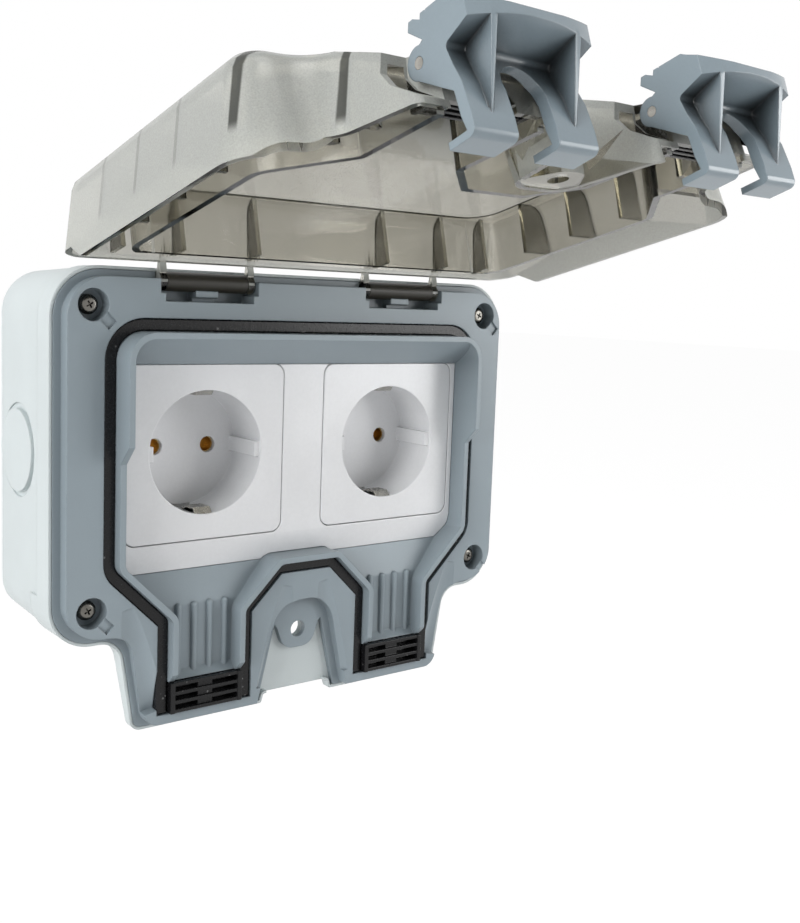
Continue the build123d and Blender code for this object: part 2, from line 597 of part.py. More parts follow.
def screw(head_y, length, head_d, head_t, x, z):
    """Pan-head screw along Y with a cross in its head"""
    body = rod_y(head_d / 2, head_y, head_y + head_t, x, z)
    body = chamfer(body.edges().filter_by(GeomType.CIRCLE).group_by(Axis.Y)[0], 0.7)
    body += rod_y(SCREW_SHANK_D / 2, head_y + head_t, head_y + head_t + length, x, z)
    for turn in (0, 90):
        body -= Pos(x, head_y, z) * Rot(0, turn, 0) * Box(head_d * 0.55, 2.4, 0.9)
    return body


# Cover, built closed and turned to its rest pose at the end
def up(a):
    """Height of a point that lies the distance a below the closed cover's datum"""
    return COVER_DATUM - a


def out(h):
    """Depth of a point that lies the distance h in front of the closed rim"""
    return COVER_RIM_Y - h


COVER_DATUM = 37.2
HALF_COVER = HALF_W - COVER_SIDE
COVER_TOP = HALF_H - COVER_BACK
RAISED = PANEL_RISE - COVER_GAP + COVER_OVER
SLOT_SIDE = SLOT_HALF_TOP - 1.6
COVER_OUTLINE = both_sides([
    (HALF_COVER, COVER_TOP, 8.5),
    (HALF_COVER, -HALF_H + COVER_SIDE, HOUSING_LOW_R - COVER_SIDE),
    (LEG_NECK, -HALF_H - COVER_SIDE, 7.5),
    (LEG_HALF_OUT, -LOBE_END, 3.0),
    (LOBE_HALF_IN, -LOBE_END, 3.0),
    (SLOT_SIDE, -SLOT_CROWN - 1.6, SLOT_SIDE - 1.5),
])


def cover_body(inset, depth, roof_drop):
    """Tapered block with the cover's outline and a rounded roof edge"""
    lean = math.tan(math.radians(COVER_DRAFT))
    sections = []
    for below, rounded in ((depth, 0.0), (ROOF_R, 0.0), (ROOF_R * 0.5, 0.13), (ROOF_R * 0.13, 0.5), (0.0, 1.0)):
        h = depth - below
        points = grow(COVER_OUTLINE, -inset - lean * h - rounded * ROOF_R)
        sections.append(Plane.XZ.offset(-out(h)) * outline(points))
    body = loft(sections, ruled=True)
    lobe_cut = [
        (out(depth + 1), up(88)), (out(COVER_H - roof_drop), up(91)), (out(19.2 - roof_drop), up(107.5)),
        (out(16.2 - roof_drop), up(122)), (out(depth + 1), up(122)),
    ]
    return body - profile(lobe_cut, -REACH, REACH)


def cover_shell():
    outer = cover_body(0, COVER_H, 0)
    inner = cover_body(COVER_T, COVER_H - ROOF_T, ROOF_T)
    shell = outer - inner
    room = outer
    # inner wall that presses on the gasket
    half = INNER_WALL_T / 2
    wall = run_band(half, -half, out(COVER_H), out(INNER_WALL_RIM), LOBE_END)
    ribs = wall + gussets()
    shell += ribs & room
    # rim raised over the panel at the hinge end, beside the legs and at their ends
    shell -= raised_rim(up(6), up(-2), up(-30), -REACH, REACH)
    for side in (-1, 1):
        shell -= raised_rim(up(90), up(94.5), up(130), *sorted((side * (LEG_OUT + GROOVE), side * REACH)))
        lobe = sorted((side * (LOBE_HALF_IN + COVER_T + LOBE_CLEAR), side * REACH))
        shell -= block(*lobe, out(RAISED), out(-1), -REACH, -LOBE_END + COVER_T + 2 * LOBE_CLEAR)
        shell -= lobe_rebate(side)
        shell -= cable_opening(side)
        shell += hinge_arms(side)
        shell -= rod_x(PIN_D / 2 + 0.02, side * LEG_X - LATCH_HALF, side * LEG_X + LATCH_HALF,
                       out(PIN_H), PIN_Z)
    shell += padlock_tab()
    return shell


def raised_rim(z_start, z_full, z_end, x_from, x_to):
    """What is cut off the rim where it lies over the panel instead of the flange"""
    ramp = [(out(-1), z_start), (out(0), z_start), (out(RAISED), z_full), (out(RAISED), z_end), (out(-1), z_end)]
    return profile(ramp, x_from, x_to)


def gussets():
    """Plates between the inner and the outer wall"""
    ribs = None
    top = out(COVER_H)
    for a in (17.0, 38.5, 60.0):
        rib = block(RUN_X, HALF_COVER, top, out(7.0), up(a) - GUSSET_T / 2, up(a) + GUSSET_T / 2)
        ribs = rib + mirrored(rib) if ribs is None else ribs + rib + mirrored(rib)
    for x in (HINGE_X - HINGE_HALF + ARM_T / 2, HINGE_X + HINGE_HALF - ARM_T / 2, RUN_X - 0.4):
        rib = block(x - GUSSET_T / 2, x + GUSSET_T / 2, top, out(5.8), RUN_TOP, COVER_TOP)
        ribs += rib + mirrored(rib)
    for a, x_from, x_to, thick in ((85.5, 56.0, HALF_COVER, 2.4), (97.0, LEG_OUT, HALF_COVER, 2.2)):
        rib = block(x_from, x_to, top, out(7.0), up(a) - thick / 2, up(a) + thick / 2)
        ribs += rib + mirrored(rib)
    return ribs


def lobe_rebate(side):
    """Room for the latch's ears on both sides of the lobe's end"""
    step = [(out(32), up(107.5)), (out(14.5), up(107.5)), (out(10.8), up(110.5), 3.0),
            (out(7.4), up(116)), (out(4.9), up(120)), (out(4.9), up(128)), (out(32), up(128))]
    middle = side * LEG_X
    cut = profile(step, middle - REACH / 2 + 10, middle - LOBE_BLOCK)
    cut += profile(step, middle + LOBE_BLOCK, middle + REACH / 2 - 10)
    return cut & block(*sorted((side * 8, side * REACH)), out(40), out(-1), -REACH, 0)


def cable_opening(side):
    """Opening in the lobe's end wall that the cable leaves by"""
    seat = LEG_RUN - INNER_WALL_T / 2 - FIT
    arch = [(-seat, -1), (-seat, 6.0), (-CABLE_HALF, 6.0), (-CABLE_HALF, 11.0, 4.0),
            (CABLE_HALF, 11.0, 4.0), (CABLE_HALF, 6.0), (seat, 6.0), (seat, -1)]
    points = [(side * LEG_X + p[0], out(p[1]), *p[2:]) for p in arch]
    return extrude(Plane.XY.offset(-LOBE_END - 1) * outline(points), 5.0)


def hinge_arms(side):
    """Two arms that hold the hinge rod"""
    arm_r = ROD_D / 2
    rod = (HINGE_Y, HINGE_Z)
    side_view = [
        (rod[0] - arm_r * 0.4, rod[1] + arm_r * 0.9), (rod[0] - arm_r, rod[1] - 0.5),
        (out(14.0), COVER_TOP - 4.0), (out(6.0), COVER_TOP - 4.0), (out(RAISED + 0.4), COVER_TOP - 0.6),
        (rod[0] - 2.0, rod[1] - arm_r * 0.98),
    ]
    arms = None
    for x in (-1, 1):
        edge = side * HINGE_X + x * HINGE_HALF
        near, far = sorted((edge, edge + x * ARM_T))
        arm = profile(side_view, near, far) + rod_x(arm_r, near, far, *rod)
        arms = arm if arms is None else arms + arm
    return arms


def padlock_tab():
    """Lug that lies on the frame's lug when the cover is closed"""
    half = SLOT_SIDE + 1.2
    shape = both_sides([(half, -SLOT_CROWN - 2.5), (half - 0.2, -LUG_Z + 1.0, 2.0),
                        (3.6, -LUG_Z - LUG_R + 0.4, 3.4)])
    tab = slab(shape, out(TAB_T + 0.1), out(0.1))
    return tab - rod_y(LUG_HOLE_D / 2, out(TAB_T + 1), out(-1), 0, -LUG_Z)


def cover_seal(side):
    half = LEG_RUN - INNER_WALL_T / 2 - FIT
    low = -LOBE_END + COVER_T + 12.0 * math.tan(math.radians(COVER_DRAFT)) + FIT
    seal = louvres(out(12.0), out(6.9), low, low + 8.6, half, 2.6)
    hold = block(-half, half, out(15.6), out(12.0), low + 5.6, low + 8.6)
    return Pos(side * LEG_X, 0, 0) * (seal + hold)


def hinge_rod(side):
    near, far = side * HINGE_X - HINGE_HALF, side * HINGE_X + HINGE_HALF
    return rod_x(ROD_D / 2, near, far, HINGE_Y, HINGE_Z)


# Latch, drawn round its pivot as (along, out) and built on the closed cover
GRIP = [(-1.7, 7.6), (-0.8, 10.3), (2.5, 8.4), (3.2, 10.2), (4.6, 9.4), (5.4, 11.0), (7.0, 9.9), (8.0, 11.2),
        (10.6, 10.1), (13.0, 8.6)]
TAB_EDGE = [(18.8, 5.6), (19.4, 3.2), (8.4, -0.2, 1.2)]
HOOK_FRONT = [(9.8, -5.2), (11.3, -9.2), (12.6, -17.3, 2.0), (11.0, -19.8, 1.5), (6.8, -21.0)]
HOOK_BACK = [(6.2, -19.3), (7.9, -18.6, 1.0), (9.5, -17.0, 1.0), (8.7, -10.3)]


def latch_points(points):
    return [(out(PIN_H) - p[1], PIN_Z - p[0], *p[2:]) for p in points]


def latch(side):
    front = GRIP + TAB_EDGE + HOOK_FRONT + HOOK_BACK
    ear = [(-1.4, -3.3), (-3.4, -1.2), (-3.5, 1.4), (2.2, 4.1)]
    middle = [(6.6, -5.0), (5.9, 0.0), (7.4, 4.6, 1.0), (4.0, 6.2)]
    cheek = profile(latch_points(front + ear), -LATCH_HALF, -LATCH_HALF + EAR_T)
    cheek += rod_x(EAR_R, -LATCH_HALF, -LATCH_HALF + EAR_T, out(PIN_H), PIN_Z)
    body = profile(latch_points(front + middle), -LATCH_HALF, LATCH_HALF)
    body += cheek + mirrored(cheek)
    fin = profile(latch_points([(8.0, 0.0), (18.0, 3.0), (12.7, -15.8), (9.0, -8.0)]),
                  FIN_X - FIN_T / 2, FIN_X + FIN_T / 2)
    body += fin + mirrored(fin)
    # slot for the cable between the two prongs
    slot = [(-PRONG_SLOT, PIN_Z - 30), (-PRONG_SLOT, PIN_Z + 4), (PRONG_SLOT, PIN_Z + 4),
            (PRONG_SLOT, PIN_Z - 30)]
    reach = extrude(Plane.XZ.offset(-out(PIN_H - 30)) * outline(slot), 30 - 8.2)
    tip = rod_across(PRONG_SLOT)
    body -= reach + tip
    # crowned tab: the front corners are taken off by a wide arc
    crown = 90.0
    arc = Pos(0, out(PIN_H + 11.4) + crown, PIN_Z - 10) * Cylinder(crown, 80)
    body &= arc + block(-LATCH_HALF - 1, LATCH_HALF + 1, out(PIN_H + 6.5), out(-40), PIN_Z - 50, PIN_Z + 30)
    body &= tab_edge()
    body -= rod_x(PIN_D / 2 + PIN_FIT, -LATCH_HALF - 1, LATCH_HALF + 1, out(PIN_H), PIN_Z)
    return Pos(side * LEG_X, 0, 0) * body


def tab_edge():
    """Everything that the arched lower edge of the tab leaves, seen from the front"""
    half = LATCH_HALF + 1
    corner, low = PIN_Z - TAB_CORNER, PIN_Z - TAB_MIDDLE
    edge = [Line((half, PIN_Z + 30), (half, corner)), ThreePointArc((half, corner), (0, low), (-half, corner)),
            Line((-half, corner), (-half, PIN_Z + 30)), Line((-half, PIN_Z + 30), (half, PIN_Z + 30))]
    return extrude(Plane.XZ.offset(-out(-40)) * make_face(edge), out(-40) - out(60))


def rod_across(radius):
    """Round upper end of the cable slot"""
    y = out(PIN_H - 8.2)
    return Pos(0, y, PIN_Z - 13) * Cylinder(radius, 34)


def latch_pin(side):
    middle = side * LEG_X
    return rod_x(PIN_D / 2, middle - LATCH_HALF, middle + LATCH_HALF, out(PIN_H), PIN_Z)


def turned(shape, angle, y, z):
    """The shape turned about a line along X"""
    return Pos(0, y, z) * Rot(angle, 0, 0) * Pos(0, -y, -z) * shape


def opened(shape):
    return turned(shape, -OPEN_ANGLE, HINGE_Y, HINGE_Z)


# Assembly
def socket_parts(name, x):
    parts = {
        f"socket_plate_{name}": socket_plate(),
        f"socket_base_{name}": socket_base(),
        f"earth_clip_{name}": earth_clip(),
        f"mounting_bridge_{name}": mounting_bridge(),
        f"contact_tube_{name}_1": contact_tube(-1),
        f"contact_tube_{name}_2": contact_tube(1),
    }
    for i, side in enumerate((-1, 1), 1):
        parts[f"bridge_screw_{name}_{i}"] = screw(BRIDGE_Y - 0.9, 9.0, 5.6, 0.9,
                                                  side * BRIDGE_SCREW_PITCH / 2, 0)
    return {key: Pos(x, 0, 0) * shape for key, shape in parts.items()}


def assembly():
    rim, arch = cover_gaskets()
    parts = {
        "back_box": back_box(),
        "front_frame": front_frame(),
        "body_gasket": body_gasket(),
        "cover_gasket_rim": rim,
        "cover_gasket_arch": arch,
        "socket_surround": socket_surround(),
        "cover_shell": opened(cover_shell()),
    }
    for name, side in (("left", -1), ("right", 1)):
        parts.update(socket_parts(name, side * PLATE_PITCH / 2))
        parts[f"cable_seal_{name}"] = cable_seal(side)
        parts[f"cover_seal_{name}"] = opened(cover_seal(side))
        parts[f"hinge_rod_{name}"] = opened(hinge_rod(side))
        parts[f"latch_pin_{name}"] = opened(latch_pin(side))
        parts[f"latch_{name}"] = opened(turned(latch(side), -LATCH_AJAR, out(PIN_H), PIN_Z))
        for level, z in (("top", 1), ("bottom", -1)):
            head_y = PANEL_Y + SCREW_RECESS_DEPTH - SCREW_HEAD_T
            parts[f"frame_screw_{level}_{name}"] = screw(
                head_y, SCREW_LENGTH - SCREW_HEAD_T, SCREW_HEAD_D, SCREW_HEAD_T, side * SCREW_X, z * SCREW_Z)
    return parts


for node, shape in assembly().items():
    export_step(shape, f"parts/{node}.step")
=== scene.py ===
# %% [markdown]
# # An outdoor socket with a smoked cover
# This lesson dresses a two-gang weatherproof socket: a light grey back box, a blue-grey front frame with a
# rubber gasket, two white outlets, and a smoked cover that stands open on two hinges, with two snap
# latches. The solids come from the part's own model, at their real size. Blender adds what the eye expects
# of moulded plastic: rounded edges, fine grain, gloss, and small hardware. Everything is in metres and +Z
# is up.

# %% Load the solids
import json
import math

import bpy
from mathutils import Matrix, Vector


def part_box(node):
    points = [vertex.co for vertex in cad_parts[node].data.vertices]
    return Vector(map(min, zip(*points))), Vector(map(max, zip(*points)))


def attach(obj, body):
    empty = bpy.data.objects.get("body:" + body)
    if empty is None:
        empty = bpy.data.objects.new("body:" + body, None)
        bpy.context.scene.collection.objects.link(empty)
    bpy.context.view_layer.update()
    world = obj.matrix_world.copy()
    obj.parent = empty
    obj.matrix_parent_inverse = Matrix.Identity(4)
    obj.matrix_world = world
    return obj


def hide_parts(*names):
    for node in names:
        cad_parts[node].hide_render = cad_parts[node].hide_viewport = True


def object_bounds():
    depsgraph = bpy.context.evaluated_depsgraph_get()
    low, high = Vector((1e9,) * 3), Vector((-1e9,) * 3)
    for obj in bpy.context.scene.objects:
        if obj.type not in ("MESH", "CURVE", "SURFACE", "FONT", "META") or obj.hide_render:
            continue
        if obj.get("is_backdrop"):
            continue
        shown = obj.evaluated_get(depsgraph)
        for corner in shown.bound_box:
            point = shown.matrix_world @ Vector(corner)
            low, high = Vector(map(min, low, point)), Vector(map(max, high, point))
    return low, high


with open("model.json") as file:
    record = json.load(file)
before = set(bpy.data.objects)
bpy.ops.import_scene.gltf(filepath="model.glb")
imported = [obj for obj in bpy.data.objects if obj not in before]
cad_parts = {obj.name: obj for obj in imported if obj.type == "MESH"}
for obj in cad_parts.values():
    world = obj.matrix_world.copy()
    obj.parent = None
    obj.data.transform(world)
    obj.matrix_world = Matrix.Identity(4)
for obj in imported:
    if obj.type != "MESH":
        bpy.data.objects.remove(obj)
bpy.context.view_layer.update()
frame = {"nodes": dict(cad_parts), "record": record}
nodes = frame["nodes"]
MM = 0.001

# %% [markdown]
# ## The camera
# The product is seen from its left, a little from above, with a long-ish lens close by. A camera can be
# placed by eye, or solved from points whose real places are known. It was solved here from the corners of
# the outlets and the screws, and the result is kept as angles and a place, so it is easy to read and to
# change.

# %% Camera
CAMERA_PLACE = Vector((-202.9, -353.2, 49.1)) * MM
CAMERA_YAW = math.radians(38.49)
CAMERA_PITCH = math.radians(6.37)
CAMERA_ROLL = math.radians(2.18)
IMAGE_HEIGHT = 923
FOCAL_PIXELS = 1118.5
SENSOR = 36.0
SHIFT_X = -0.0052
SHIFT_Y = -0.0377
NEAREST = 10.0 * MM


def camera_axes(yaw, pitch, roll):
    """Right, up and forward of a camera that looks along +Y, turned to +X, down, and about its own line"""
    forward = Vector((math.sin(yaw) * math.cos(pitch), math.cos(yaw) * math.cos(pitch), -math.sin(pitch)))
    right = Vector((math.cos(yaw), -math.sin(yaw), 0.0))
    up = right.cross(forward)
    rolled_right = right * math.cos(roll) + up * math.sin(roll)
    rolled_up = up * math.cos(roll) - right * math.sin(roll)
    return rolled_right, rolled_up, forward


def add_camera():
    right, up, forward = camera_axes(CAMERA_YAW, CAMERA_PITCH, CAMERA_ROLL)
    bpy.ops.object.camera_add()
    camera = bpy.context.object
    turn = Matrix((right, up, -forward)).transposed().to_4x4()
    camera.matrix_world = Matrix.Translation(CAMERA_PLACE) @ turn
    camera.data.sensor_fit = "VERTICAL"
    camera.data.sensor_height = SENSOR
    camera.data.lens = FOCAL_PIXELS * SENSOR / IMAGE_HEIGHT
    camera.data.shift_x = SHIFT_X
    camera.data.shift_y = SHIFT_Y
    camera.data.clip_start = NEAREST
    bpy.context.scene.camera = camera
    return camera


camera = add_camera()
print("lens", round(camera.data.lens, 2), "mm")

# %% [markdown]
# ## Shader sums
# A finish is a small sum of noises, masks and colours. Wiring each Math node by hand hides that sum, so
# one class wraps a socket and turns + - and * into Math nodes, and one method adds any other node.

# %% A socket that adds up
class Value:
    """An output of a node, which can be added, taken away and multiplied"""

    def __init__(self, finish, socket):
        self.finish = finish
        self.socket = socket

    def other(self, out):
        """Another output of the same node"""
        return Value(self.finish, self.socket.node.outputs[out])

    def sum(self, operation, first, second):
        return self.finish.node("ShaderNodeMath", {"operation": operation}, {0: first, 1: second})

    def __add__(self, other):
        return self.sum("ADD", self, other)

    def __sub__(self, other):
        return self.sum("SUBTRACT", self, other)

    def __rsub__(self, other):
        return self.sum("SUBTRACT", other, self)

    def __mul__(self, other):
        return self.sum("MULTIPLY", self, other)

    __radd__ = __add__
    __rmul__ = __mul__


print("operators with their reflected forms:", sum(name.startswith("__r") for name in vars(Value)))

# %% [markdown]
# The nodes of a material hang in a tree, and so do those of the world. One class holds such a tree, with
# the few patterns that the finishes of this object share: a noise, a soft threshold, a blend of two
# colours, a mask of the edges, and a relief.

# %% A finish under construction
class Finish:
    """The nodes of a material or a world"""

    def __init__(self, owner):
        self.owner = owner
        self.owner.use_nodes = True
        self.tree = owner.node_tree
        self.tree.nodes.clear()

    def node(self, kind, settings=None, sockets=None, out=0):
        """Add a node with its settings, link or set its sockets, and give one of its outputs"""
        node = self.tree.nodes.new(kind)
        for key, value in (settings or {}).items():
            setattr(node, key, value)
        for key, value in (sockets or {}).items():
            if isinstance(value, Value):
                self.tree.links.new(value.socket, node.inputs[key])
            else:
                node.inputs[key].default_value = value
        return Value(self, node.outputs[out])

    def place(self):
        """The point in the piece's own coordinates"""
        return self.node("ShaderNodeTexCoord", out="Object")

    def noise(self, scale, detail=2.0, roughness=0.5):
        sockets = {"Vector": self.place(), "Scale": scale, "Detail": detail, "Roughness": roughness}
        return self.node("ShaderNodeTexNoise", None, sockets)

    def ramp(self, value, low, high):
        """0 below low, 1 above high, and smooth between"""
        return self.node("ShaderNodeMapRange", {"interpolation_type": "SMOOTHSTEP"},
                         {"Value": value, "From Min": low, "From Max": high})

    def blend(self, amount, first, second):
        """Colour between two colours"""
        return self.node("ShaderNodeMix", {"data_type": "RGBA"}, {0: amount, 6: first, 7: second}, out=2)

    def edges(self, radius):
        """1 along sharp edges, where handling rubs the surface, and 0 on flat faces"""
        rounded = self.node("ShaderNodeBevel", {"samples": 4}, {"Radius": radius})
        flat = self.node("ShaderNodeNewGeometry", out="Normal")
        both = {0: rounded, 1: flat}
        likeness = self.node("ShaderNodeVectorMath", {"operation": "DOT_PRODUCT"}, both, out="Value")
        return self.ramp(1.0 - likeness, 0.01, 0.22)

    def bump(self, height, depth, strength=1.0, edge=0.0):
        """Relief of a given depth in metres, over edges rounded by a given radius"""
        sockets = {"Height": height, "Distance": depth, "Strength": strength}
        if edge:
            sockets["Normal"] = self.node("ShaderNodeBevel", {"samples": 6}, {"Radius": edge})
        return self.node("ShaderNodeBump", None, sockets)

    def surface(self, **sockets):
        """Ends the material with one shader. Names are its sockets, with _ for a space"""
        named = {key.replace("_", " "): value for key, value in sockets.items()}
        return self.end(self.node("ShaderNodeBsdfPrincipled", None, named))

    def end(self, shader, volume=None, output="ShaderNodeOutputMaterial"):
        """Ends the tree with a shader, and with what fills the piece"""
        last = self.tree.nodes.new(output)
        self.tree.links.new(shader.socket, last.inputs["Surface"])
        if volume:
            self.tree.links.new(volume.socket, last.inputs["Volume"])
        return self.owner


def paint(*rgb):
    """Screen colour, 0 to 255, as the linear colour that shaders use"""
    return tuple((c / 255 / 12.92) if c <= 10 else ((c / 255 + 0.055) / 1.055) ** 2.4 for c in rgb) + (1.0,)


print("a mid grey on screen is", round(paint(128)[0], 3), "in a shader")

# %% [markdown]
# ## Floor, background and light
# A catalogue picture stands on white. The floor is pale and catches the shadow, and rays that go straight
# to the eye, or there by way of glass or gloss, find a white world. For all other rays the world is dim,
# and dimmer on the right, because the left faces of the housing are the bright ones. An evenly bright
# world would be simpler, but it flattens every edge.

# %% World
WHITE = (1.0, 1.0, 1.0, 1.0)
AMBIENT_LEFT = 0.3
AMBIENT_RIGHT = 0.12
AMBIENT_FROM = -0.8
AMBIENT_TO = 0.9


def seen_rays(finish):
    """1 for rays that come from the eye, straight or by way of gloss or glass, and 0 for the others"""
    rays = finish.node("ShaderNodeLightPath")
    seen = rays.other("Is Camera Ray")
    for name in ("Is Glossy Ray", "Is Transmission Ray"):
        seen = finish.node("ShaderNodeMath", {"operation": "MAXIMUM"}, {0: seen, 1: rays.other(name)})
    return seen


def add_world():
    """White for the eye, and for all other rays a dim light that fades to the right"""
    world = bpy.data.worlds.new("studio")
    bpy.context.scene.world = world
    finish = Finish(world)
    direction = finish.node("ShaderNodeTexCoord", out="Generated")
    across = finish.node("ShaderNodeSeparateXYZ", None, {0: direction})
    dim = finish.node("ShaderNodeMapRange", None, {
        "Value": across, "From Min": AMBIENT_FROM, "From Max": AMBIENT_TO,
        "To Min": AMBIENT_LEFT, "To Max": AMBIENT_RIGHT})
    strength = finish.node("ShaderNodeMix", None, {0: seen_rays(finish), 2: dim, 3: 1.0})
    background = finish.node("ShaderNodeBackground", None, {"Color": WHITE, "Strength": strength})
    return finish.end(background, output="ShaderNodeOutputWorld")


add_world()
print("world fades from", AMBIENT_LEFT, "to", AMBIENT_RIGHT)

# %% Floor
FLOOR_WHITE = (0.85, 0.85, 0.85, 1.0)
FLOOR_WIDE = 12.0
FLOOR_DROP = 75.0 * MM
FLOOR_GLOW = 1.09
FLOOR_GLOW_SHARE = 0.88


def floor_finish():
    """Matt white that also glows a little for the eye, so that it meets the white world without a line"""
    finish = Finish(bpy.data.materials.new("floor_white"))
    matt = finish.node("ShaderNodeBsdfDiffuse", None, {"Color": FLOOR_WHITE})
    glow = finish.node("ShaderNodeEmission", None, {"Color": WHITE, "Strength": FLOOR_GLOW})
    share = seen_rays(finish) * FLOOR_GLOW_SHARE
    return finish.end(finish.node("ShaderNodeMixShader", None, {0: share, 1: matt, 2: glow}))


def add_floor():
    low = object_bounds()[0]
    bpy.ops.mesh.primitive_plane_add(size=FLOOR_WIDE, location=(0, 0, low[2] - FLOOR_DROP))
    floor = bpy.context.object
    floor.name = "floor"
    floor.data.materials.append(floor_finish())
    floor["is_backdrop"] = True
    return floor


floor = add_floor()
print("floor at", round(floor.location.z, 3), "m")

# %% [markdown]
# The lamps are large for an object of this size, so their shadows are soft. The main one stands to the
# left, one in front opens up the outlets, and one above lights the cover. A small lamp would draw harder
# shadows, and its mirror image on the glossy plates would be a hard spot.

# %% Lamps
LAMP_AIM = Vector((0.0, -60.0, 0.0)) * MM
# Name, place, width and watts of each
LAMPS = (
    ("key", (-1.5, -0.45, 0.5), 0.8, 19.5),
    ("front", (0.5, -0.5, 0.12), 0.36, 1.95),
    ("top", (0.0, -0.5, 1.4), 0.8, 6.0),
)


def add_lamp(name, place, size, watts):
    """A square lamp that looks at the outlets"""
    bpy.ops.object.light_add(type="AREA", location=place)
    lamp = bpy.context.object
    lamp.name = "lamp_" + name
    lamp.data.size = size
    lamp.data.energy = watts
    lamp.rotation_euler = (LAMP_AIM - Vector(place)).to_track_quat("-Z", "Y").to_euler()
    return lamp


for lamp in LAMPS:
    add_lamp(*lamp)
print("lamps:", len(LAMPS))

# %% [markdown]
# ## Finishes
# The housing is moulded in two greys. Its tool was spark-eroded, which leaves a grain of about a third of
# a millimetre, and handling polishes the edges a little. A grain could be a picture, but a noise in the
# piece's own coordinates has no seams and is as sharp as one looks. The box, the frame and the latches
# also get their rounded edges here, from the shader, because a bevel of their meshes breaks at the round
# holes and at the fins.

# %% Moulded plastics
CLOUDS = 38.0
DEEPER = 0.93
LIGHTER = 1.09
LIFT = 0.008
RUBBED = 0.6 * MM
RUBBED_SHARE = 0.35
# Painted shade in recesses: how far it looks for walls, and the openness at which it is darkest
HOLLOW_SHADE_REACH = 14.0 * MM
HOLLOW_SHADE_FROM = 0.35


def shade(colour, times, plus=0.0):
    """A colour made deeper or lighter"""
    return tuple(min(c * times + plus, 0.95) for c in colour[:3]) + (1.0,)


def moulded(name, colour, rough, grain, depth, edge=0.0, gloss=0.4, hollow_shade=0.0):
    """Plastic with a spark-eroded grain, faint clouds in its colour, polished edges, and painted shade in
    its recesses
    """
    finish = Finish(bpy.data.materials.new(name))
    clouds = finish.noise(CLOUDS, 3.0)
    pores = finish.noise(1.0 / grain, 3.0, 0.6)
    worn = finish.edges(RUBBED)
    mottle = finish.ramp(clouds * 0.7 + pores * 0.3, 0.3, 0.7)
    body = finish.blend(mottle, shade(colour, DEEPER), colour)
    body = finish.blend(worn * RUBBED_SHARE, body, shade(colour, LIGHTER, LIFT))
    # Painted shade: the colour darkens where ambient occlusion finds the piece shut in, in recesses and
    # creases
    if hollow_shade:
        reach = {"Distance": HOLLOW_SHADE_REACH}
        open_air = finish.node("ShaderNodeAmbientOcclusion", {"samples": 6}, reach, out="AO")
        body = finish.blend(finish.ramp(open_air, HOLLOW_SHADE_FROM, 1.0), shade(colour, 1.0 - hollow_shade), body)
    shine = (clouds - 0.5) * 0.08 + (pores - 0.5) * 0.06 - worn * 0.07 + rough
    return finish.surface(Base_Color=body, Roughness=shine, Specular_IOR_Level=gloss,
                          Normal=finish.bump(pores, depth, 0.6, edge))


light_plastic = moulded("light_plastic", paint(207, 215, 216), rough=0.44, grain=0.45 * MM,
                        depth=0.014 * MM, edge=0.6 * MM)
# The frame and the latches get painted shade in their recesses
grey_plastic = moulded("grey_plastic", paint(146, 158, 165), rough=0.34, grain=0.35 * MM,
                       depth=0.012 * MM, edge=0.5 * MM, hollow_shade=0.3)
white_plastic = moulded("white_plastic", paint(232, 233, 235), rough=0.20, grain=1.2 * MM,
                        depth=0.003 * MM, gloss=0.5)
dark_plastic = moulded("dark_plastic", paint(50, 48, 42), rough=0.42, grain=0.5 * MM, depth=0.006 * MM)
latch_plastic = moulded("latch_plastic", paint(134, 148, 156), rough=0.2, grain=0.6 * MM,
                        depth=0.0012 * MM, edge=0.4 * MM, gloss=0.6, hollow_shade=0.96)
print("plastics:", light_plastic.name, grey_plastic.name, white_plastic.name, latch_plastic.name)

# %% [markdown]
# The gaskets are black rubber with a dull sheen. Dust settles on it as tiny pale specks, and the specks
# are what tells rubber from black plastic in a picture. Specks could be strewn as small meshes, but cells
# of a cell noise, kept only in patches, cost nothing and follow any shape.

# %% Rubber
RUBBER_DARK = paint(13, 13, 14)
RUBBER_LIGHT = paint(24, 24, 26)
RUBBER_SKIN = 900.0
DUST = paint(150, 150, 150)
DUST_SHARE = 0.55
SPECK_CELLS = 420.0
SPECK_PATCHES = 160.0
SPECK_SIZE = (0.10, 0.18)


def rubber():
    finish = Finish(bpy.data.materials.new("seal_rubber"))
    skin = finish.noise(RUBBER_SKIN, 3.0, 0.6)
    spots = {"Vector": finish.place(), "Scale": SPECK_CELLS}
    cells = finish.node("ShaderNodeTexVoronoi", {"feature": "F1"}, spots)
    patches = finish.ramp(finish.noise(SPECK_PATCHES, 2.0), 0.52, 0.68)
    specks = (1.0 - finish.ramp(cells, *SPECK_SIZE)) * patches
    colour = finish.blend(skin, RUBBER_DARK, RUBBER_LIGHT)
    colour = finish.blend(specks * DUST_SHARE, colour, DUST)
    return finish.surface(Base_Color=colour, Roughness=(skin - 0.5) * 0.2 + 0.26, Specular_IOR_Level=0.3,
                          Normal=finish.bump(skin + specks, 0.03 * MM, 0.7))


seal_rubber = rubber()
print("rubber:", seal_rubber.name)

# %% [markdown]
# The cover is smoked plastic that light passes through. Real smoked plastic swallows light on its way, so
# a thin wall looks pale and a rib or an edge, seen end on, looks nearly black. A tint on the surface can't
# do that, and a volume that absorbs can. The outside was moulded with a fine grain and blurs what is
# behind it.

# %% Painted shade where the ribs meet the cover
HINGE_LINE = (0.0, -44.0 * MM, 52.5 * MM)
COVER_OPEN = 103.8
RIB_HALF = 0.75 * MM
RIB_FADE = 0.6 * MM
SIDE_RIBS = (20.2 * MM, -1.3 * MM, -22.8 * MM)
SIDE_RIB_FROM = 69.2 * MM
SIDE_RIB_SHARE = 0.35
LOBE_RIBS = (-48.3 * MM, -59.8 * MM)
LOBE_RIB_FROM = (56.0 * MM, 51.7 * MM)
LOBE_RIB_WIDER = 1.4
RIM_END = 50.5 * MM
RIM_CLEAR = 53.5 * MM


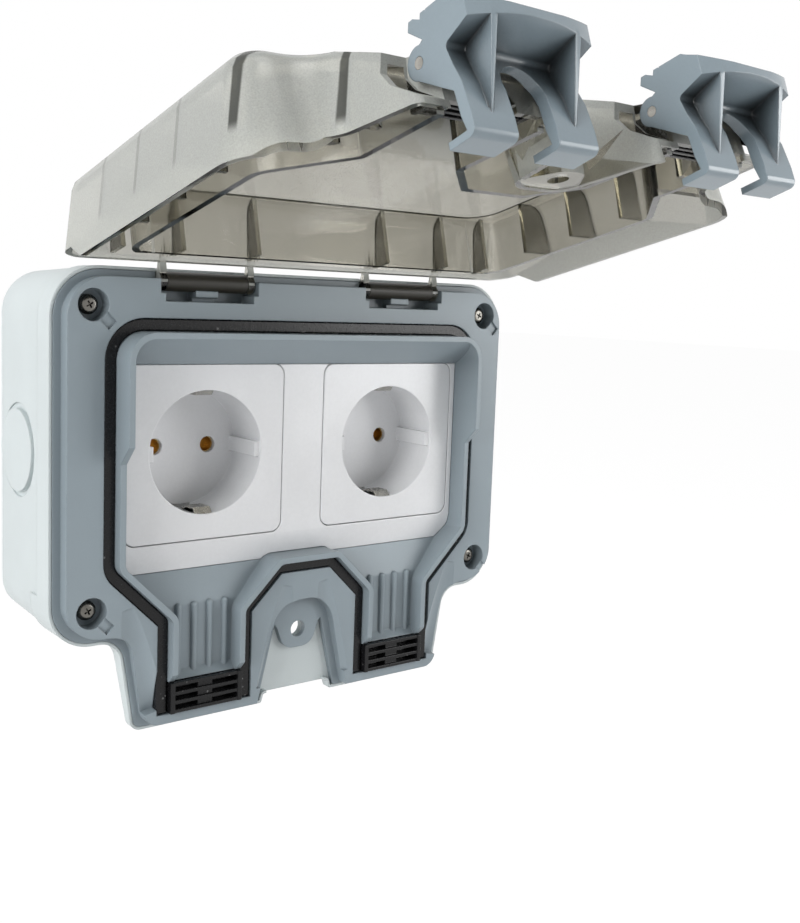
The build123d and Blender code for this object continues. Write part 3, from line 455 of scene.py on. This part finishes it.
def band(finish, value, middle, half):
    """1 within a distance of a middle value, 0 past it, with soft rims"""
    far = finish.node("ShaderNodeMath", {"operation": "ABSOLUTE"}, {0: value - middle})
    return 1.0 - finish.ramp(far, half * 0.8, half * 1.3)


def rib_shade_bands(finish):
    """1 where a rib meets the wall, read in the place of the closed cover, for bars of painted shade"""
    closed = finish.node("ShaderNodeVectorRotate", {"rotation_type": "X_AXIS"}, {
        "Vector": finish.place(), "Center": HINGE_LINE, "Angle": math.radians(COVER_OPEN)})
    split = finish.node("ShaderNodeSeparateXYZ", None, {0: closed})
    deep = split.other("Y")
    up = split.other("Z")
    across = finish.node("ShaderNodeMath", {"operation": "ABSOLUTE"}, {0: split.other("X")})
    marks = 0.0
    for height in SIDE_RIBS:
        marks = band(finish, up, height, RIB_HALF) * SIDE_RIB_SHARE + marks
    marks = marks * finish.ramp(across, SIDE_RIB_FROM, SIDE_RIB_FROM + RIB_FADE)
    for height, start in zip(LOBE_RIBS, LOBE_RIB_FROM):
        bar = band(finish, up, height, RIB_HALF * LOBE_RIB_WIDER)
        marks = bar * finish.ramp(across, start, start + RIB_FADE) + marks
    return marks * finish.ramp(0.0 - deep, RIM_END, RIM_CLEAR)


print("ribs to mark:", len(SIDE_RIBS) + len(LOBE_RIBS), "on each side")

# %% [markdown]
# The finish is a mix of two shaders. One is clear, as the polished inside is. The other is a pale haze, as
# a grained face is, and it comes in only where a face is marked as outside. The haze would hide the ribs,
# which on the real cover show through the wall they stand on because they swallow light, so both shaders
# get dark bars of painted shade there.

# %% Smoked cover
CLEAR_DEEP = (0.93, 0.92, 0.90, 1.0)
CLEAR_PALE = (0.97, 0.965, 0.95, 1.0)
CLEAR_RIB_SHADE = paint(70, 72, 66)
FLANK_SHADE = (0.26, 0.255, 0.235, 1.0)
HAZE_DEEP = paint(208, 211, 206)
HAZE_PALE = paint(222, 225, 220)
HAZE_RIB_SHADE = paint(84, 86, 80)
HAZE_ROUGH = 0.4
COVER_LOSS = (120.0, 126.0, 152.0)
LOSS_SCALE = 1000.0
COVER_IOR = 1.49
COVER_CLOUDS = 30.0
COVER_GRAIN = 2600.0
FROST = 0.48


def smoked():
    """Clear plastic that takes up light, with a haze where a face is marked as grained"""
    finish = Finish(bpy.data.materials.new("smoked_clear"))
    grain = finish.noise(COVER_GRAIN, 1.0, 0.5)
    clouds = finish.noise(COVER_CLOUDS, 2.0)
    skin = finish.bump(grain, 0.003 * MM, 0.5)
    outside = finish.node("ShaderNodeAttribute", {"attribute_name": "outside"}, out="Fac")
    flank_shade = finish.node("ShaderNodeAttribute", {"attribute_name": "flank"}, out="Fac")
    # Painted shade: dark bars where the ribs meet the wall, for the light the ribs swallow
    ribs = outside * rib_shade_bands(finish)
    # Painted shade: the sides of the ribs get a dark tint
    tinted = finish.blend(flank_shade, finish.blend(clouds, CLEAR_DEEP, CLEAR_PALE), FLANK_SHADE)
    clear = finish.node("ShaderNodeBsdfPrincipled", None, {
        "Base Color": finish.blend(ribs, tinted, CLEAR_RIB_SHADE), "IOR": COVER_IOR, "Normal": skin,
        "Roughness": outside * 0.16 + (grain - 0.5) * 0.04 + 0.05, "Transmission Weight": 1.0})
    pale = finish.blend(grain, HAZE_DEEP, HAZE_PALE)
    haze = finish.node("ShaderNodeBsdfPrincipled", None, {
        "Base Color": finish.blend(ribs, pale, HAZE_RIB_SHADE), "Roughness": HAZE_ROUGH, "Normal": skin})
    frost = outside * ((grain - 0.5) * 0.12 + FROST)
    mixed = finish.node("ShaderNodeMixShader", None, {0: frost, 1: clear, 2: haze})
    let = tuple(1.0 - loss / LOSS_SCALE for loss in COVER_LOSS) + (1.0,)
    inside = finish.node("ShaderNodeVolumeAbsorption", None, {"Color": let, "Density": LOSS_SCALE})
    return finish.end(mixed, inside)


smoked_clear = smoked()
print("cover:", smoked_clear.name)

# %% [markdown]
# Screws and pins are zinc-coated steel, and the contacts are brass. Both are brushed by the machine that
# made them, so a noise that is stretched along one line gives their streaks. The screws take a darker copy
# of the steel, painted shade for how deep they sit in their holes.

# %% Metals
STREAKS = (900.0, 120.0, 900.0)
STAINS = 260.0
STAINED = 0.55


def metal(name, colour, rough):
    finish = Finish(bpy.data.materials.new(name))
    stretched = finish.node("ShaderNodeMapping", None, {"Vector": finish.place(), "Scale": STREAKS})
    streaks = finish.node("ShaderNodeTexNoise", None, {"Vector": stretched, "Scale": 1.0, "Detail": 3.0})
    stains = finish.ramp(finish.noise(STAINS, 3.0), 0.45, 0.75)
    body = finish.blend(stains * 0.6, colour, shade(colour, STAINED))
    shine = (streaks - 0.5) * 0.25 + stains * 0.12 + rough
    return finish.surface(Base_Color=body, Metallic=1.0, Roughness=shine,
                          Normal=finish.bump(streaks, 0.01 * MM, 0.5))


bright_steel = metal("bright_steel", paint(178, 175, 168), 0.24)
# A darker copy of the steel for the screws: painted shade
shaded_screw_steel = metal("shaded_screw_steel", paint(112, 110, 105), 0.22)
contact_brass = metal("contact_brass", paint(214, 184, 122), 0.3)
FINISHES = {
    "light_plastic": light_plastic, "grey_plastic": grey_plastic, "white_plastic": white_plastic,
    "dark_plastic": dark_plastic, "seal_rubber": seal_rubber, "smoked_clear": smoked_clear,
    "latch_plastic": latch_plastic, "bright_steel": bright_steel, "contact_brass": contact_brass,
}
print("finishes:", len(FINISHES))

# %% [markdown]
# The record of the model names a material slot for each piece and the body that it moves with. Each solid
# gets the finish of its slot from there, so a piece that changes its slot in the model changes here too.

# %% Put the finishes on the solids
def dress(piece, finish):
    piece.data.materials.clear()
    piece.data.materials.append(finish)


slot_of = {part["node"]: part["material_slot"] for part in frame["record"]["subparts"]}
body_of = {node: body for body, held in frame["record"]["behaviour"]["bodies"].items() for node in held}
for name, solid in nodes.items():
    dress(solid, FINISHES[slot_of[name]])
print("dressed:", len(nodes))

# %% [markdown]
# ## Rounded edges
# No moulded edge is sharp: each one has a small radius that catches the light as a thin bright line, and
# these lines are most of what makes plastic look like plastic. A shader can fake them, and does on the
# box, the frame and the latches, but real roundings also show in the outline. So the pieces listed below
# are copied, their loose triangles are joined into whole faces, and a bevel rounds what is left of their
# edges.

# %% Copy a solid and join its faces
WELD = 0.002 * MM
FLAT_TURN = 0.6


def deselect():
    bpy.ops.object.select_all(action="DESELECT")


def only(piece):
    """Make one piece the selected and active one"""
    deselect()
    piece.select_set(True)
    bpy.context.view_layer.objects.active = piece


def joined_copy(node, name, whole=True):
    """A copy of a solid with its triangles joined, and merged into whole faces if they are wanted"""
    piece = bpy.data.objects.new(name, nodes[node].data.copy())
    bpy.context.scene.collection.objects.link(piece)
    only(piece)
    bpy.ops.object.mode_set(mode="EDIT")
    bpy.ops.mesh.select_all(action="SELECT")
    bpy.ops.mesh.remove_doubles(threshold=WELD)
    if whole:
        bpy.ops.mesh.dissolve_limited(angle_limit=math.radians(FLAT_TURN))
    bpy.ops.object.mode_set(mode="OBJECT")
    bpy.ops.mesh.customdata_custom_splitnormals_clear()
    return piece


def round_edges(piece, radius, sharp=30.0):
    """Round every edge that turns by more than an angle"""
    only(piece)
    bpy.ops.object.shade_smooth()
    rounding = piece.modifiers.new("rounding", "BEVEL")
    rounding.width = radius
    rounding.segments = 2
    rounding.limit_method = "ANGLE"
    rounding.angle_limit = math.radians(sharp)
    rounding.use_clamp_overlap = False
    rounding.harden_normals = True
    bpy.ops.object.modifier_apply(modifier="rounding")


def stand_in(piece, node):
    """Let a finished piece take the place of its solid"""
    dress(piece, FINISHES[slot_of[node]])
    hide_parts(node)
    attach(piece, body_of[node])
    return piece


print("helpers ready")

# %% [markdown]
# A stamped clip is hardly rounded, a moulded plate a little more, and a soft gasket most. One radius for
# all would be less to write, but it would eat up the thin clips or not show on the gaskets.

# %% Round the outlets, the seals and the hinge rods
ROUNDINGS = {
    "socket_surround": 0.3, "socket_plate_left": 0.35, "socket_plate_right": 0.35,
    "cover_gasket_rim": 0.5, "cover_gasket_arch": 0.5,
    "cable_seal_left": 0.25, "cable_seal_right": 0.25, "cover_seal_left": 0.25, "cover_seal_right": 0.25,
    "hinge_rod_left": 0.3, "hinge_rod_right": 0.3, "earth_clip_left": 0.15, "earth_clip_right": 0.15,
}
for node, radius in ROUNDINGS.items():
    piece = joined_copy(node, node + "_rounded")
    round_edges(piece, radius * MM)
    stand_in(piece, node)
    print(node, len(piece.data.polygons), "faces")

# %% [markdown]
# ## The cover
# The mould of the cover was polished where it forms the inside and grained where it forms the outside. So
# each face is asked whether it looks out: a ray from its middle, along its normal, must meet nothing of
# the cover. The faces could be picked by hand, but there are thousands. The answer is kept on the face,
# and the finish reads it. The sides of the ribs are marked too, and the finish tints them dark: painted
# shade for the light that enters them and hardly comes out again.

# %% Faces that look out, and sides of ribs
FRONT = Vector((0.0, 0.2385, 0.9711))
LOOKS_BACK = -0.3
RAY_START = 0.02 * MM
HINGE_RIBS = (24.65 * MM, 50.05 * MM, 68.85 * MM)
RIB_REACH = 0.85 * MM
HINGE_RIB_ABOVE = 39.5 * MM
SIDE_RIB_OUT = 69.8 * MM
SQUARE_ON = 0.95


def about(line, degrees):
    """A turn about a line that runs along X through a point"""
    there = Matrix.Translation(line)
    return there @ Matrix.Rotation(math.radians(degrees), 4, "X") @ there.inverted()


def looks_out(piece, spot, normal):
    away = piece.ray_cast(spot + normal * RAY_START, normal)[0]
    return not away and normal.dot(FRONT) > LOOKS_BACK


def rib_flank(spot, normal):
    """Whether a face is the side of a rib at the hinge end, or of one along the sides"""
    closed = about(HINGE_LINE, COVER_OPEN) @ spot
    upward = about((0.0, 0.0, 0.0), COVER_OPEN) @ normal
    end_rib = any(abs(abs(spot.x) - place) < RIB_REACH for place in HINGE_RIBS)
    side_rib = any(abs(closed.z - place) < RIB_REACH for place in SIDE_RIBS)
    at_end = abs(normal.x) > SQUARE_ON and end_rib and closed.z > HINGE_RIB_ABOVE
    at_side = abs(upward.z) > SQUARE_ON and side_rib and abs(spot.x) > SIDE_RIB_OUT
    return at_end or at_side


print("ribs at the hinge end:", [round(place / MM, 2) for place in HINGE_RIBS], "mm from the middle")

# %% Cover with a grained outside
FRONT_GRAIN = 0.62
FRONT_LIKE = 0.9
COVER_SMOOTH = 28


def widest_triangles(mesh):
    """For each face, the area and the middle of its widest triangle, which lies on the face"""
    mesh.calc_loop_triangles()
    widest = {}
    for triangle in mesh.loop_triangles:
        if triangle.area > widest.get(triangle.polygon_index, (0.0, None))[0]:
            corners = [mesh.vertices[i].co for i in triangle.vertices]
            widest[triangle.polygon_index] = (triangle.area, sum(corners, Vector()) / 3)
    return widest


def mark_outside(piece):
    """Keep on each face how much it is grained, from 0 inside to 1 on the walls, and if it is the side of a
    rib, which gets painted shade
    """
    mesh = piece.data
    widest = widest_triangles(mesh)
    marks = mesh.attributes.new("outside", "FLOAT", "FACE")
    flank_shade = mesh.attributes.new("flank", "FLOAT", "FACE")
    for index, (_, spot) in widest.items():
        normal = mesh.polygons[index].normal
        grained = FRONT_GRAIN if normal.dot(FRONT) > FRONT_LIKE else 1.0
        marks.data[index].value = grained * looks_out(piece, spot, normal)
        flank_shade.data[index].value = float(rib_flank(spot, normal))
    return sum(mark.value for mark in marks.data)


cover = joined_copy("cover_shell", "smoked_cover", whole=False)
bpy.context.view_layer.update()
print("grained faces:", round(mark_outside(cover)), "of", len(cover.data.polygons))
only(cover)
bpy.ops.object.shade_smooth_by_angle(angle=math.radians(COVER_SMOOTH))
stand_in(cover, "cover_shell")

# %% [markdown]
# ## The snap latches
# Each latch ends in two prongs that are bent like an L: a flat strip, a rounded corner, and a lip that
# grips behind the housing. The solid has a plainer hook. It could be drawn anew, but only its ends differ,
# so the copy is laid upright about its pivot, the hooks are cut off, and the strip is pulled out again
# step by step.

# %% Lay a latch upright
PIVOT_LINE = (0.0, -58.9 * MM, -78.0 * MM)
LATCH_SIDE = 37.05 * MM
LATCH_LEAN = 5.0


def latch_place(side):
    """From a latch that stands upright with its pivot at the origin, to its place at the open cover"""
    at_pivot = Matrix.Translation((side * LATCH_SIDE, PIVOT_LINE[1], PIVOT_LINE[2]))
    return about(HINGE_LINE, -COVER_OPEN) @ about(PIVOT_LINE, -LATCH_LEAN) @ at_pivot


latch = joined_copy("latch_left", "latch_left_shaped")
latch.data.transform(latch_place(-1).inverted())
print("latch stands", [round(size / MM, 1) for size in latch.dimensions], "mm")

# %% [markdown]
# The faces at the cut are pulled out to the bend and made thinner, and pulled out once more by the
# thickness of the lip. What faces up beyond the bend is pulled up into the lip, and the outer corner is
# bevelled round. Extruding keeps strip and lip one skin, where boxes set against each other would leave a
# seam at each joint.

# %% Pull out the prongs and their lips
CUT = 16.0 * MM
BEND = 19.4 * MM
STRIP_DROP = 0.55 * MM
STRIP_MIDDLE = -11.45 * MM
STRIP_THINNER = 0.76
LIP_THICK = 1.7 * MM
LIP_LONG = 5.8 * MM
LIP_LEAN = 0.15 * MM
CORNER_BELOW = -12.2 * MM
AT_CUT = 0.05 * MM
PAST_BEND = 0.1 * MM
CORNER_ROUND = 2.0 * MM


def pick_faces(piece, test):
    """In edit mode, select just the faces whose middle and normal pass a test"""
    bpy.ops.mesh.select_mode(type="FACE")
    bpy.ops.mesh.select_all(action="DESELECT")
    bpy.ops.object.mode_set(mode="OBJECT")
    for face in piece.data.polygons:
        face.select = test(face.center, face.normal)
    bpy.ops.object.mode_set(mode="EDIT")


def pick_edges(piece, test):
    """In edit mode, select just the edges whose two ends pass a test"""
    bpy.ops.mesh.select_mode(type="EDGE")
    bpy.ops.mesh.select_all(action="DESELECT")
    bpy.ops.object.mode_set(mode="OBJECT")
    points = piece.data.vertices
    for edge in piece.data.edges:
        edge.select = all(test(points[i].co) for i in edge.vertices)
    bpy.ops.object.mode_set(mode="EDIT")


only(latch)
bpy.ops.object.mode_set(mode="EDIT")
bpy.ops.mesh.select_all(action="SELECT")
bpy.ops.mesh.bisect(plane_co=(0, CUT, 0), plane_no=(0, 1, 0), use_fill=True, clear_outer=True)
pick_faces(latch, lambda middle, normal: normal.y > 0.9 and abs(middle.y - CUT) < AT_CUT)
bpy.ops.mesh.extrude_region_move(TRANSFORM_OT_translate={"value": (0, BEND - CUT, -STRIP_DROP)})
bpy.ops.transform.resize(value=(1.0, 1.0, STRIP_THINNER), center_override=(0, BEND, STRIP_MIDDLE))
bpy.ops.mesh.extrude_region_move(TRANSFORM_OT_translate={"value": (0, LIP_THICK, 0)})
pick_faces(latch, lambda middle, normal: normal.z > 0.7 and middle.y > BEND + PAST_BEND)
bpy.ops.mesh.extrude_region_move(TRANSFORM_OT_translate={"value": (0, LIP_LEAN, LIP_LONG)})
pick_edges(latch, lambda point: point.y > BEND + LIP_THICK - PAST_BEND and point.z < CORNER_BELOW)
bpy.ops.mesh.bevel(offset=CORNER_ROUND, segments=6, profile=0.5, affect="EDGES")
bpy.ops.object.mode_set(mode="OBJECT")
print("with hooks", [round(size / MM, 1) for size in latch.dimensions], "mm")

# %% [markdown]
# Two fins stiffen the prongs and run out to a point on them, so the last points of each fin are drawn in
# to its middle and moved flush with the strip. The shaped latch is then copied to both sides.

# %% Point the fins, and copy the latch
FIN_X = 12.0 * MM
FIN_END = Vector((0.0, 15.8, -12.7)) * MM
FIN_NEAR = 0.12 * MM
FIN_NARROW = 0.2
FIN_RISE = 0.36 * MM
LATCH_SMOOTH = 30


def copy_of(source, name):
    """A copy that has its own mesh"""
    piece = source.copy()
    piece.data = source.data.copy()
    piece.name = name
    bpy.context.scene.collection.objects.link(piece)
    return piece


for point in latch.data.vertices:
    if (Vector((0.0, point.co.y, point.co.z)) - FIN_END).length < FIN_NEAR:
        middle = math.copysign(FIN_X, point.co.x)
        point.co.x = middle + (point.co.x - middle) * FIN_NARROW
        point.co.z += FIN_RISE
for side, node in ((-1, "latch_left"), (1, "latch_right")):
    piece = copy_of(latch, node + "_shaped_copy")
    piece.data.transform(latch_place(side))
    only(piece)
    bpy.ops.object.shade_smooth_by_angle(angle=math.radians(LATCH_SMOOTH))
    stand_in(piece, node)
bpy.data.objects.remove(latch)
print("latches shaped")

# %% [markdown]
# ## Screws
# Four small screws hold the frame. Their domed heads have a cross recess with tapering flanks, and they
# sit deep in their holes, so mostly the rim and the recess catch the light. One is shaped and the others
# are its copies: a disc gets a wide bevel for its dome, and two tapered bars cut the cross.

# %% Bars that cut the cross
CROSS_LONG = 3.2 * MM
CROSS_WIDE = 0.75 * MM
CROSS_DEEP = 2.4 * MM
CROSS_TAPER = 0.45
CROSS_MIDDLE = (0.0, 0.0, 0.1 * MM)


def cross_cutter():
    """Two bars that narrow towards their lower end"""
    bars = []
    for turn in (0.0, 90.0):
        deselect()
        bpy.ops.mesh.primitive_cube_add(size=1.0, location=CROSS_MIDDLE)
        bar = bpy.context.object
        bar.scale = (CROSS_LONG, CROSS_WIDE, CROSS_DEEP)
        bar.rotation_euler = (0, 0, math.radians(turn))
        bpy.ops.object.transform_apply(location=True, rotation=True, scale=True)
        bpy.ops.object.mode_set(mode="EDIT")
        pick_faces(bar, lambda middle, normal: normal.z < -0.9)
        bpy.ops.transform.resize(value=(CROSS_TAPER, CROSS_TAPER, 1.0))
        bpy.ops.object.mode_set(mode="OBJECT")
        bars.append(bar)
    return bars


cross = cross_cutter()
print("cross:", [round(size / MM, 2) for size in cross[0].dimensions], "mm")

# %% [markdown]
# The lower face of the disc is inset to the width of the shank and pulled down into it, and the upper one
# gets its bevel. The cross is cut last: its edges are sharp on the real screw, and a bevel after it would
# round them too.

# %% Shape one screw
HEAD = 2.9 * MM
HEAD_DEEP = 2.2 * MM
DOME = 1.3 * MM
SHANK = 1.5 * MM
SHANK_LONG = 17.0 * MM
SHANK_TAPER = 0.35
SCREW_SMOOTH = 35


def shape_screw(name, cutters):
    """A screw that stands on its point, with the top of its head at the origin"""
    deselect()
    centre = (0, 0, -HEAD_DEEP / 2)
    bpy.ops.mesh.primitive_cylinder_add(vertices=40, radius=HEAD, depth=HEAD_DEEP, location=centre)
    screw = bpy.context.object
    screw.name = name
    bpy.ops.object.transform_apply(location=True, rotation=True, scale=True)
    bpy.ops.object.mode_set(mode="EDIT")
    pick_faces(screw, lambda middle, normal: normal.z < -0.9)
    bpy.ops.mesh.inset(thickness=HEAD - SHANK)
    bpy.ops.mesh.extrude_region_move(TRANSFORM_OT_translate={"value": (0, 0, -SHANK_LONG)})
    bpy.ops.transform.resize(value=(SHANK_TAPER, SHANK_TAPER, 1.0))
    pick_faces(screw, lambda middle, normal: normal.z > 0.9)
    bpy.ops.mesh.bevel(offset=DOME, segments=6, profile=0.45, affect="EDGES", clamp_overlap=True)
    bpy.ops.object.mode_set(mode="OBJECT")
    for bar in cutters:
        only(screw)
        cut = screw.modifiers.new("cut", "BOOLEAN")
        cut.operation = "DIFFERENCE"
        cut.object = bar
        bpy.ops.object.modifier_apply(modifier="cut")
        bpy.data.objects.remove(bar)
    only(screw)
    bpy.ops.object.shade_smooth_by_angle(angle=math.radians(SCREW_SMOOTH))
    return screw


first_screw = shape_screw("frame_screw", cross)
print("screw faces:", len(first_screw.data.polygons))

# %% [markdown]
# The copies stand where the plain screws are, a little deeper. A screw stops where it is tight, so the
# crosses of the left pair and of the right pair stand at different angles.

# %% Set the four screws in their holes
HEAD_SUNK = 0.18 * MM
CROSS_TURN = {"left": 28, "right": 65}
for level in ("top", "bottom"):
    for side in ("left", "right"):
        node = "frame_screw_" + level + "_" + side
        low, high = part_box(node)
        piece = copy_of(first_screw, "screw_" + level + "_" + side)
        spot = Vector(((low.x + high.x) / 2, low.y + HEAD_SUNK, (low.z + high.z) / 2))
        face_out = Matrix.Rotation(math.radians(90), 4, "X")
        cross_turn = Matrix.Rotation(math.radians(CROSS_TURN[side]), 4, "Z")
        piece.data.transform(Matrix.Translation(spot) @ face_out @ cross_turn)
        stand_in(piece, node)
        # Painted shade: the screws take the darker copy of the steel
        dress(piece, shaded_screw_steel)
bpy.data.objects.remove(first_screw)
print("screws set")

# %% [markdown]
# ## Finish
# The picture is shown with plain screen colours, so that a colour renders about as it is written.

# %% Finish
bpy.context.scene.view_settings.view_transform = "Standard"
